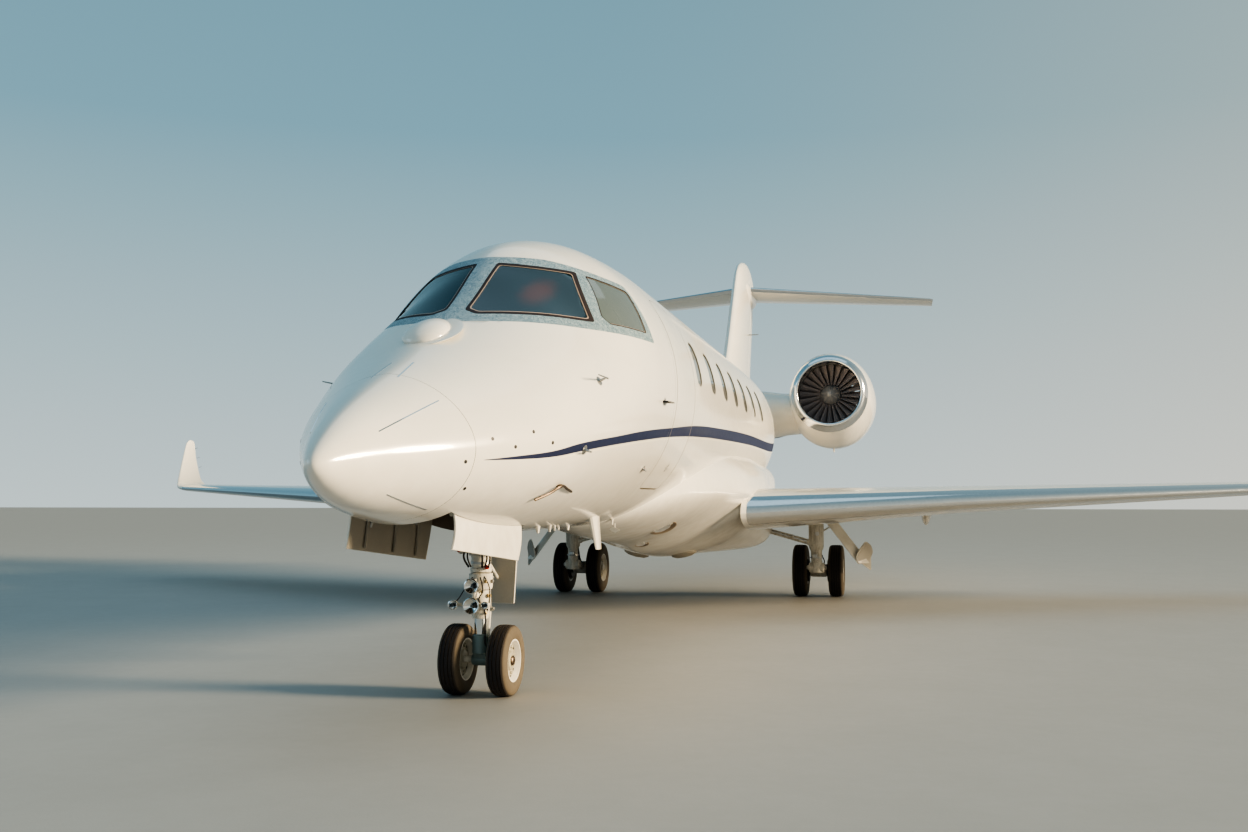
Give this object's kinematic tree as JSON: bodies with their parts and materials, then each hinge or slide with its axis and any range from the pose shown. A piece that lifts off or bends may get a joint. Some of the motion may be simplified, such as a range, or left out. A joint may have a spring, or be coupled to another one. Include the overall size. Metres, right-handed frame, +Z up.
{
  "type": "business jet",
  "caption": "Twin-engine business jet parked on its landing gear, with swept wings and winglets, a T-tail, an opening airstair door, moving control surfaces, steering and fans.",
  "frame": {"origin": "on the ground under the middle of the aircraft's overall length and width", "axes": "+Z up, +Y towards the tail, +X towards the port side"},
  "size_m": [18.3076, 20, 5.978],
  "materials": {
    "white_paint": "gloss",
    "polished_metal": "polished",
    "bare_metal": "satin",
    "window_glass": "polished",
    "dark_panel": "matte",
    "floor_covering": "matte",
    "seat_leather": "soft satin",
    "engine_steel": "satin",
    "gear_metal": "gloss",
    "tyre": "matte"
  },
  "bodies": {
    "airframe": {"radome": "white_paint", "fuselage_nose": "white_paint", "windshield_frame": "bare_metal", "windshield_port": "window_glass", "windshield_starboard": "window_glass", "side_window_port": "window_glass", "side_window_starboard": "window_glass", "fuselage_cabin": "white_paint", "cabin_windows_port": "window_glass", "cabin_windows_starboard": "window_glass", "cabin_floor": "floor_covering", "instrument_panel": "dark_panel", "cockpit_seats": "seat_leather", "cabin_seats_port": "seat_leather", "cabin_seats_starboard": "seat_leather", "inlet_lip_port": "polished_metal", "inlet_lip_starboard": "polished_metal", "engine_core_port": "engine_steel", "engine_core_starboard": "engine_steel", "nacelle_port": "white_paint", "nacelle_starboard": "white_paint", "fuselage_aft": "white_paint", "wing_port": "white_paint", "wing_starboard": "white_paint", "leading_edge_port": "polished_metal", "leading_edge_starboard": "polished_metal", "winglet_port": "white_paint", "winglet_starboard": "white_paint", "belly_fairing": "white_paint", "fin": "white_paint", "tailplane": "white_paint", "nose_gear_leg": "gear_metal", "nose_gear_door_port": "white_paint", "nose_gear_door_starboard": "white_paint", "nose_gear_leg_door": "white_paint", "main_gear_leg_port": "gear_metal", "main_gear_leg_starboard": "gear_metal", "main_gear_door_port": "white_paint", "main_gear_door_starboard": "white_paint"},
    "airstair_door": {"airstair_door": "white_paint"},
    "nose_gear_lower": {"nose_gear_strut": "gear_metal"},
    "nose_wheels": {"nose_wheel_port": "tyre", "nose_wheel_starboard": "tyre"},
    "main_wheels_port": {"main_wheel_inner_port": "tyre", "main_wheel_outer_port": "tyre"},
    "main_wheels_starboard": {"main_wheel_inner_starboard": "tyre", "main_wheel_outer_starboard": "tyre"},
    "rudder": {"rudder": "white_paint"},
    "fan_port": {"fan_port": "engine_steel"},
    "fan_starboard": {"fan_starboard": "engine_steel"},
    "flap_inboard_port": {"flap_inboard_port": "white_paint"},
    "flap_inboard_starboard": {"flap_inboard_starboard": "white_paint"},
    "flap_outboard_port": {"flap_outboard_port": "white_paint"},
    "flap_outboard_starboard": {"flap_outboard_starboard": "white_paint"},
    "aileron_port": {"aileron_port": "white_paint"},
    "aileron_starboard": {"aileron_starboard": "white_paint"},
    "elevator_port": {"elevator_port": "white_paint"},
    "elevator_starboard": {"elevator_starboard": "white_paint"}
  },
  "joints": [
    {"name": "airstair_hinge", "type": "hinge", "parent": "airframe", "child": "airstair_door", "pos_m": [0.79504, -5.553, 1.465], "axis": [0, 1, 0], "range_deg": [0, 128]},
    {"name": "nose_steering", "type": "hinge", "parent": "airframe", "child": "nose_gear_lower", "pos_m": [0, -7.505, 0.86], "axis": [0, 0, 1], "range_deg": [-60, 60]},
    {"name": "nose_wheels_roll", "type": "hinge", "parent": "nose_gear_lower", "child": "nose_wheels", "pos_m": [0, -7.473, 0.247], "axis": [1, 0, 0], "continuous": true},
    {"name": "main_wheels_port_roll", "type": "hinge", "parent": "airframe", "child": "main_wheels_port", "pos_m": [1.756, 1.646, 0.3635], "axis": [1, 0, 0], "continuous": true},
    {"name": "fan_port_spin", "type": "hinge", "parent": "airframe", "child": "fan_port", "pos_m": [1.878, 3.02, 2.992], "axis": [0, 1, 0], "continuous": true},
    {"name": "main_wheels_starboard_roll", "type": "hinge", "parent": "airframe", "child": "main_wheels_starboard", "pos_m": [-1.756, 1.646, 0.3635], "axis": [1, 0, 0], "continuous": true},
    {"name": "fan_starboard_spin", "type": "hinge", "parent": "airframe", "child": "fan_starboard", "pos_m": [-1.878, 3.02, 2.992], "axis": [0, 1, 0], "continuous": true},
    {"name": "flap_inboard_port_hinge", "type": "hinge", "parent": "airframe", "child": "flap_inboard_port", "pos_m": [1.45, 1.4, 1.2424], "axis": [-0.9986, 0, -0.053], "range_deg": [0, 35]},
    {"name": "flap_inboard_starboard_hinge", "type": "hinge", "parent": "airframe", "child": "flap_inboard_starboard", "pos_m": [-1.45, 1.4, 1.2424], "axis": [-0.9986, 0, 0.053], "range_deg": [0, 35]},
    {"name": "flap_outboard_port_hinge", "type": "hinge", "parent": "airframe", "child": "flap_outboard_port", "pos_m": [3.76, 1.47, 1.36262], "axis": [-0.966, -0.2555, -0.0393], "range_deg": [0, 35]},
    {"name": "flap_outboard_starboard_hinge", "type": "hinge", "parent": "airframe", "child": "flap_outboard_starboard", "pos_m": [-3.76, 1.47, 1.36262], "axis": [-0.966, 0.2555, 0.0393], "range_deg": [0, 35]},
    {"name": "aileron_port_hinge", "type": "hinge", "parent": "airframe", "child": "aileron_port", "pos_m": [6.46, 2.365, 1.46953], "axis": [0.9527, 0.3017, 0.0379], "range_deg": [-20, 20]},
    {"name": "aileron_starboard_hinge", "type": "hinge", "parent": "airframe", "child": "aileron_starboard", "pos_m": [-6.46, 2.365, 1.46953], "axis": [0.9527, -0.3017, -0.0379], "range_deg": [-20, 20]},
    {"name": "elevator_port_hinge", "type": "hinge", "parent": "airframe", "child": "elevator_port", "pos_m": [0.46, 8.44, 5.45], "axis": [0.9249, 0.3801, 0], "range_deg": [-15, 22]},
    {"name": "elevator_starboard_hinge", "type": "hinge", "parent": "airframe", "child": "elevator_starboard", "pos_m": [-0.46, 8.44, 5.45], "axis": [0.9249, -0.3801, 0], "range_deg": [-15, 22]},
    {"name": "rudder_hinge", "type": "hinge", "parent": "airframe", "child": "rudder", "pos_m": [0, 6.95, 3.4], "axis": [0, 0.4152, 0.9097], "range_deg": [-25, 25]}
  ],
  "couplings": [
    {"joint": "flap_inboard_starboard_hinge", "follows": "flap_inboard_port_hinge", "ratio": 1},
    {"joint": "flap_outboard_starboard_hinge", "follows": "flap_inboard_port_hinge", "ratio": 1},
    {"joint": "aileron_starboard_hinge", "follows": "aileron_port_hinge", "ratio": -1},
    {"joint": "flap_outboard_port_hinge", "follows": "flap_inboard_port_hinge", "ratio": 1},
    {"joint": "elevator_starboard_hinge", "follows": "elevator_port_hinge", "ratio": 1}
  ]
}
